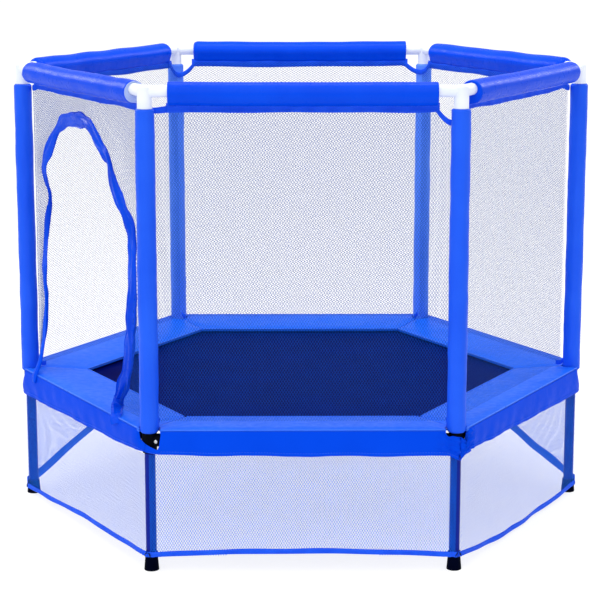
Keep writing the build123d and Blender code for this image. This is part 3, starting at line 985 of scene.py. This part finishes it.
# the ribbon from its lower left end, over the arch, to its lower right: across, up, how far it stands
# out from the net, how far it turns to face outwards in degrees, and half its width in millimetres
RIBBON = np.array([
    (-.262, .330, .053, 10, 13), (-.262, .352, .048, 10, 13), (-.264, .372, .036, 12, 13),
    (-.266, .400, .027, 14, 14), (-.266, .440, .020, 12, 16), (-.266, .500, .011, 26, 16),
    (-.266, .550, .010, 22, 16), (-.266, .620, .013, 8, 17), (-.264, .700, .008, 6, 17),
    (-.262, .760, .002, 4, 17), (-.262, .815, -.008, 28, 17), (-.266, .855, .002, 18, 17),
    (-.262, .900, .010, 4, 17), (-.225, .945, .008, -12, 17), (-.180, .992, .007, 14, 16),
    (-.142, 1.020, .006, -6, 17), (-.098, 1.030, .005, -4, 19), (-.020, 1.036, .007, -4, 19),
    (.040, 1.030, .012, 6, 17), (.082, 1.002, .016, -4, 17), (.130, .974, .019, -4, 17),
    (.160, .958, .019, 24, 15), (.167, .928, .019, 0, 17), (.190, .893, .019, -14, 17),
    (.230, .854, .019, -10, 17), (.272, .817, .019, -10, 17), (.280, .788, .019, -2, 17),
    (.279, .757, .019, -14, 17), (.276, .702, .019, 0, 17), (.278, .668, .019, -18, 17),
    (.270, .622, .019, -14, 17), (.246, .563, .010, -20, 17), (.227, .508, .006, -20, 17),
    (.210, .451, .005, -16, 17), (.190, .420, .005, -24, 17), (.164, .374, .007, -24, 16),
])


def ribbon_line(count):
    return smooth_line(RIBBON * (1, 1, 1, .001, .001), count) * (1, 1, 1, 1000, 1)


def door_pull(across, z, reach=.045):
    """How far the ribbon holds the net out of its plane, fading to 0 over the reach."""
    best, pull = np.full(np.shape(across), 9.0), np.zeros(np.shape(across))
    for row in ribbon_line(160):
        far = np.hypot(across - row[0], z - row[1])
        pull = np.where(far < best, row[2], pull)
        best = np.minimum(best, far)
    return pull * np.exp(-(best / reach) ** 2)


def net_shape(side, angle, seed):
    def shape(s, z):
        sag = -.005 * np.cos(pi * s / (2 * NET_END)) * np.sin(pi * (z - NET_BOTTOM) / (NET_HEAD - NET_BOTTOM))
        slack = .0002 * ripples(s, z * .4, seed, .22) * ease(NET_END - np.abs(s), 0, .06)
        proud = sag + slack
        if side == DOOR_SIDE:
            proud = proud + door_pull(s, z)
        return place(angle, *wrap(s, NET_A, NET_CORNER_R, proud), z)
    return shape


def strand_cell(name, width, depth):
    """Two crossed strands that fill one mesh of the net, one unit across and up.

    A depth of 0 makes flat strands, and otherwise they are three-sided."""
    points, faces = [], []
    for lean in (1, -1):
        way = np.array([1.0, lean, 0]) * .5
        side = np.array([-lean * width[0], width[1], 0]) / 2
        level = np.array([0, 0, .00015 * lean])
        first = len(points)
        if depth:
            rims = [side, -side, np.array([0, 0, depth])]
            points += [end * way + rim + level for end in (-1, 1) for rim in rims]
            faces += [(first + a, first + b, first + 3 + b, first + 3 + a)
                      for a, b in ((0, 1), (1, 2), (2, 0))]
        else:
            points += [-way - side + level, way - side + level, way + side + level, -way + side + level]
            faces.append((first, first + 1, first + 2, first + 3))
    obj = add_piece(name, np.array(points), faces, net_polyester)
    obj.data.polygons.foreach_set("use_smooth", [False] * len(faces))
    return obj


def make_netting(name, along, up, shape, keep, mesh_size, strand, material, depth=0.0):
    """A net of diamond meshes over a cloth. Returns the piece and the size of the cloth."""
    width, height = np.ptp(along), np.ptp(up)
    counts = [int(round(size / mesh)) for size, mesh in zip((width, height), mesh_size)]
    step = np.array([width / counts[0], height / counts[1]])
    slope = step[::-1] / sqrt(sum(step ** 2))
    cell = strand_cell("strands", strand * slope / step, depth)
    obj = cloth(name, along, up, shape, material, keep)
    grow(obj, NETTING, Strands=cell, Width=float(width), Height=float(height),
         Meshes_Across=counts[0], Meshes_Up=counts[1], Material=material)
    spare(cell)
    return obj, width, height


DOORWAY = np.concatenate([[(-.262, .300)], RIBBON[:, :2], [(.150, .350), (.150, .300)]])
for seed, (side, angle) in enumerate(SIDES.items()):
    door = side == DOOR_SIDE

    def keep(s, z, side=side, door=door):
        kept = z < tape_z(side, s) + .006
        return kept & ~inside(s, z, DOORWAY) if door else kept

    fine = (.0055, .0065) if door else (.012, .014)
    along = np.linspace(-NET_END, NET_END, int(2 * NET_END / fine[0]))
    up = np.linspace(NET_BOTTOM, NET_HEAD, int((NET_HEAD - NET_BOTTOM) / fine[1]))
    net, width, height = make_netting(
        f"netting_{side}", along, up, net_shape(side, angle, 110 + seed), keep,
        NET_MESH if side.startswith("front") else NET_MESH[::-1], NET_STRAND, net_polyester,
        depth=.00045 if door else 0.0)
    hand_over(net, f"net_{side}")


def make_tapes():
    """The tape on the net's top edge where it swings round inside the poles."""
    strips, turn = [], circle(12)
    for side, angle in SIDES.items():
        for sign in (-1, 1):
            s = sign * np.linspace(COVER_HALF - .012, NET_END + .0005, 26)
            out, across = wrap(s, NET_A, NET_CORNER_R, .0018)
            tall = .0080 - .0012 * ease(np.abs(s), COVER_HALF, NET_END)
            sections = place(angle, out[:, None] + .0012 * np.cos(turn), across[:, None],
                             tape_z(side, s)[:, None] + tall[:, None] * np.sin(turn))
            strips.append(loft("tape", sections, hem_webbing, band_uv(np.abs(s), .024, 12)))
    hand_over(join("net_top_tape", strips))


make_tapes()

# ---- doorway ribbon --------------------------------------------------------------------------


def make_ribbon():
    """A wide satin binding, folded over the net's edge, that twists and ruffles round the doorway."""
    angle = SIDES[DOOR_SIDE]
    rows = ribbon_line(340)
    path = np.column_stack([NET_A + rows[:, 2], rows[:, 0], rows[:, 1]])
    lean, half = np.radians(rows[:, 3]), rows[:, 4]
    ahead = unit(np.gradient(path, axis=0))
    flat_side = unit(np.cross(ahead, (-1.0, 0, 0)))
    toward = np.sign(flat_side[:, 1] + 1e-9) * ease(np.abs(flat_side[:, 1]), 0, .3)
    turn_by = lean * toward
    c, s = np.cos(turn_by)[:, None], np.sin(turn_by)[:, None]
    across = unit(flat_side * c + np.array([1.0, 0, 0]) * s)
    up = np.cross(ahead, across)
    far = travelled(path)
    half = half * (1 + .10 * np.sin(far * 61) + .07 * np.sin(far * 101 + 2))
    swell = .0036 + .0012 * np.sin(far * 47) + .0008 * np.sin(far * 83 + 1)
    swell = swell + .0016 * np.exp(-((path[:, 1] + .095) / .0022) ** 2) * (path[:, 2] > 1)
    turn = circle(40)
    side = np.sign(np.cos(turn)) * np.abs(np.cos(turn)) ** .8
    turn_by_length = turn * 6 + 1.0 + .9 * np.sin(far * 23)[:, None]
    folds = .0014 * np.cos(turn_by_length) * (1 + .6 * np.sin(far * 31)[:, None])
    ridge_at = .35 * np.sin(far * 24 + .6)[:, None]
    ridge = .0060 * np.exp(-((side - ridge_at) / .22) ** 2) * np.sin(turn)
    height = swell[:, None] * np.sin(turn) * .6 + folds + ridge * .6
    rings = path[:, None] + across[:, None] * (half[:, None] * side)[..., None]
    rings = rings + up[:, None] * height[..., None]
    made = [loft("ribbon", place(angle, *np.moveaxis(rings, -1, 0)), ribbon_satin)]
    # the loose tail: down to the cushion, across its top at a slant, and over its edge
    tail = smooth_line([
        path[-1], (NET_A + .006, .155, .3585), (NET_A + .020, .178, .3550), (PAD_OUTER - .010, .222, .3570),
        (PAD_OUTER + .0045, .240, .3510), (PAD_OUTER + .0052, .246, .3360)], 80)
    run = unit(np.gradient(tail, axis=0))
    share = np.linspace(0, 1, len(tail))
    wide = across[-1] * (1 - share)[:, None] + np.array([-.75, .65, 0]) * share[:, None]
    wide = unit(wide - run * (wide * run).sum(1)[:, None])
    lift = np.cross(run, wide)
    tail_half = .0160 - .0040 * share
    height = .0019 * np.sin(turn) + .0005 * np.cos(turn * 6)
    rings = tail[:, None] + wide[:, None] * (tail_half[:, None] * side)[..., None]
    rings = rings + lift[:, None] * height[:, None]
    made.append(loft("tail", place(angle, *np.moveaxis(rings, -1, 0)), ribbon_satin))
    obj = join("doorway_ribbon", made)
    hand_over(obj, "door_ribbon")


make_ribbon()

# ---- skirt -----------------------------------------------------------------------------------
SKIRT_CORNER_R = SKIRT_A - APOTHEM
SKIRT_END = half_wrap(SKIRT_A, SKIRT_CORNER_R)
SKIRT_HEAD = .297
HEM_TALL = .015
SKIRT_MESH, SKIRT_STRAND = (.0060, .0100), .00090
# lower edge of the skirt's hem over each side: at the low end, quarters, and the high end
SKIRT_HEM = {
    "front_left": (.012, .019, .028, .031, .034), "front": (.034, .041, .043, .041, .033),
    "front_right": (.033, .011, .006, .009, .018), "back_right": (.018, .070, .128, .178, .226),
    "back": (.226, .224, .222, .224, .226), "back_left": (.226, .172, .118, .064, .012),
}


def skirt_hem_z(side, s):
    at = np.linspace(-SKIRT_END, SKIRT_END, 5)
    z = np.interp(s, at, SKIRT_HEM[side])
    for shift in (-.03, -.015, .015, .03):
        z = z + np.interp(np.clip(s + shift, -SKIRT_END, SKIRT_END), at, SKIRT_HEM[side])
    inside = ease(SKIRT_END - np.abs(s), 0, .03)
    return z / 5 * inside + np.interp(s, at, SKIRT_HEM[side]) * (1 - inside)


def skirt_shape(side, angle, seed):
    def shape(s, z):
        span = np.cos(pi * s / (2 * SKIRT_END))
        low = skirt_hem_z(side, s)
        height = np.clip((z - low) / (SKIRT_HEAD - low), 0, 1)
        waves = .0018 * ripples(s, z, seed, .16) * ease(SKIRT_END - np.abs(s), .01, .06)
        near_leg, low_down = 1 - ease(SKIRT_END - np.abs(s), 0, .05), 1 - ease(height, .1, .6)
        gather = .0022 * np.sin(s * 420) * near_leg * low_down
        proud = -.007 * span * np.sin(pi * height) ** .8 + waves * (1 - .7 * height) + gather
        return place(angle, *wrap(s, SKIRT_A, SKIRT_CORNER_R, proud), z)
    return shape


def make_skirt_side(side, angle, seed):
    shape = skirt_shape(side, angle, seed)
    along = np.linspace(-SKIRT_END, SKIRT_END, 90)
    up = np.linspace(0, SKIRT_HEAD, 40)

    def keep(s, z):
        return z > skirt_hem_z(side, s) + .001

    net, width, height = make_netting(
        f"skirt_{side}", along, up, shape, keep, SKIRT_MESH, SKIRT_STRAND, skirt_polyester)
    hand_over(net, "skirt_net")
    rear = side in ("back_left", "back_right")
    hem_at = np.linspace(-SKIRT_END, SKIRT_END, 5)
    tall = float(np.mean(SKIRT_HEAD - np.interp(along, hem_at, SKIRT_HEM[side])))

    fine = np.linspace(-SKIRT_END, SKIRT_END, 200)
    turn = circle(14)
    height = HEM_TALL * (1.9 if rear else 1)
    centre = shape(fine, skirt_hem_z(side, fine) + height / 2)
    roll = .10 * ripples(fine, 0 * fine, seed + 9, .12)
    tall = (height / 2 - .0008) * np.sin(turn)
    thick = .0015 * np.cos(turn) + roll[:, None] * tall + .0008
    hem = loft(f"skirt_hem_{side}", centre[:, None] + place(angle, thick, 0, tall),
               pale_webbing if rear else hem_webbing, band_uv(fine, .030, 14))
    hand_over(hem, "skirt_net")
    return [centre[3:-3] + place(angle, .0024, 0, height * .22)]


skirt_lines = []
for seed, (side, angle) in enumerate(SIDES.items()):
    skirt_lines += make_skirt_side(side, angle, 130 + seed)
sew("skirt_stitching", skirt_lines)


def make_ties():
    """Elastic loops that hold the hem to the legs, each with two short ends."""
    made = []
    hem_at = {SIDE_CORNERS[side][0]: heights[0] for side, heights in SKIRT_HEM.items()}
    for corner, angle in CORNERS.items():
        at = hem_at[corner]
        turn = circle(40)
        radius = TUBE_R + .0016
        z = at + .009 + .0012 * np.sin(turn * 2 + angle)
        loop = place(angle, CORNER_R + radius * np.cos(turn), radius * np.sin(turn), z)
        made.append(tube_through("loop", loop, .0015, black_elastic, sides=8, closed=True, flatten=1.9))
        for sign in (-1, 1):
            ends = smooth_line([
                (CORNER_R + TUBE_R + .0022, 0, at + .010),
                (CORNER_R + TUBE_R + .0050, sign * .004, at + .012),
                (CORNER_R + TUBE_R + .0048, sign * .008, at + .004)], 12)
            made.append(tube_through("end", place(angle, *ends.T), .0014, black_elastic, sides=7))
    hand_over(join("elastic_ties", made), "skirt_ties")


make_ties()


def make_straps():
    """Short webbing straps from the net's bottom corners to the poles."""
    made = []
    for corner, angle in CORNERS.items():
        inner, outer = NET_A / cos(radians(30)) - .018, CORNER_R - SLEEVE_R + .001
        run = np.linspace(inner, outer, 14)
        share = np.linspace(0, 1, 14)
        z = STRAP_Z - .002 + .004 * share - .0035 * np.sin(pi * share)
        turn = circle(12)
        sections = place(angle, run[:, None], .0010 * np.cos(turn), z[:, None] + .0060 * np.sin(turn))
        made.append(loft("strap", sections, hem_webbing, band_uv(run, .024, 12)))
    hand_over(join("corner_straps", made), "net_straps")


make_straps()

# ---- mat, springs and rings ------------------------------------------------------------------
BEND_START, BEND_END = .611, .361
SPRINGS_PER_SIDE, SPRING_PITCH = 6, .084


def follow_mat(obj, angle, stands_for):
    """A piece between the steel ring and the middle of the mat: hide the solid that it replaces and bake its
    placement into its mesh.
    """
    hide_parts(stands_for)
    start, end = [tuple(place(angle, out, 0, MAT_TOP)) for out in (BEND_START, BEND_END)]
    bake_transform(obj)


def make_mat_sector(side, angle):
    out = np.concatenate([[0], np.linspace(.03, MAT_A, 34)])
    share = np.linspace(-1, 1, 33)
    oo, ss = np.meshgrid(out, share, indexing="ij")
    points = place(angle, oo, oo * ss * TAN30, MAT_TOP - .00075)
    obj = clean(add_piece(f"jump_mat_{side}", points, grid_faces(*oo.shape), mat_fabric))
    clean(thicken(obj, .0015), sharp=radians(40))
    follow_mat(obj, angle, "jump_mat")


def make_border(side, angle):
    """Doubled webbing under the mat's edge."""
    out = np.linspace(MAT_A - .022, MAT_A, 8)
    share = np.linspace(-1, 1, 60)
    oo, ss = np.meshgrid(out, share, indexing="ij")
    across = oo * ss * TAN30
    uv = np.stack([across, oo], axis=-1)
    points = place(angle, oo, across, MAT_TOP - .0024)
    obj = add_piece(f"mat_border_{side}", points, grid_faces(*oo.shape), border_webbing, uv)
    clean(thicken(obj, .0016), sharp=radians(40))
    follow_mat(obj, angle, "mat_border")


def spring_shape():
    """One coil spring with an open hook at each end, lying along X."""
    first, last = .548, .600
    wire = .00115
    turns = 17
    t = np.linspace(0, 1, turns * 8 + 1)
    radius = SPRING_R - wire
    wound = 2 * pi * turns * t
    coil = np.column_stack([first + (last - first) * t, radius * np.cos(wound), radius * np.sin(wound)])
    inner = smooth_line([(.5335, 0, .003), (.5325, 0, -.001), (.536, 0, -.003), (.541, 0, 0),
                         (.546, .002, 0), coil[0]], 14)
    outer = smooth_line([coil[-1], (.602, .002, 0), (.607, 0, 0), (.6135, 0, 0), (.6165, 0, .0012)], 12)
    return tube_through("spring", np.concatenate([inner[:-1], coil, outer[1:]]), wire, zinc_wire, sides=5)


def ring_shape():
    """One triangular wire ring, its point towards the rail."""
    inner, tip, half = MAT_A - .012, .5338, .0175
    corners = [(inner, 0), (inner, half), (tip, 0), (inner, -half), (inner, 0)]
    line = smooth_line([(x, y, 0) for x, y in corners], 44)
    return tube_through("ring", line[:-1], .0013, zinc_wire, sides=6, closed=True)


spring_master, ring_master = spring_shape(), ring_shape()
for side, angle in SIDES.items():
    make_mat_sector(side, angle)
    make_border(side, angle)
    turned = radians(angle)
    step = place(angle, 0, SPRING_PITCH, 0)
    start = place(angle, 0, -SPRING_PITCH * (SPRINGS_PER_SIDE - 1) / 2, SPRING_Z)
    for name, shape in (("springs", spring_master), ("spring_rings", ring_master)):
        row = grow(line_object(f"{name}_{side}", []), ROW, Shape=shape, Count=SPRINGS_PER_SIDE,
                   Start=tuple(start), Step=tuple(step), Turn=(0.0, 0.0, turned), Material=zinc_wire)
        follow_mat(row, angle, name)
spare(spring_master)
spare(ring_master)
spare(stitch)

# ---- the rigid parts keep their solids -------------------------------------------------------
PAINT = {
    "frame_rail": blue_steel, "leg": blue_steel, "poles": blue_steel, "top_rails": white_steel,
    "corner_joint": black_plastic, "top_fitting": white_plastic, "foot_caps": black_rubber,
    "joint_screws": bright_steel,
}
for name, obj in nodes.items():
    for start, material in PAINT.items():
        if name.startswith(start):
            for material_slot in obj.material_slots:
                material_slot.material = material
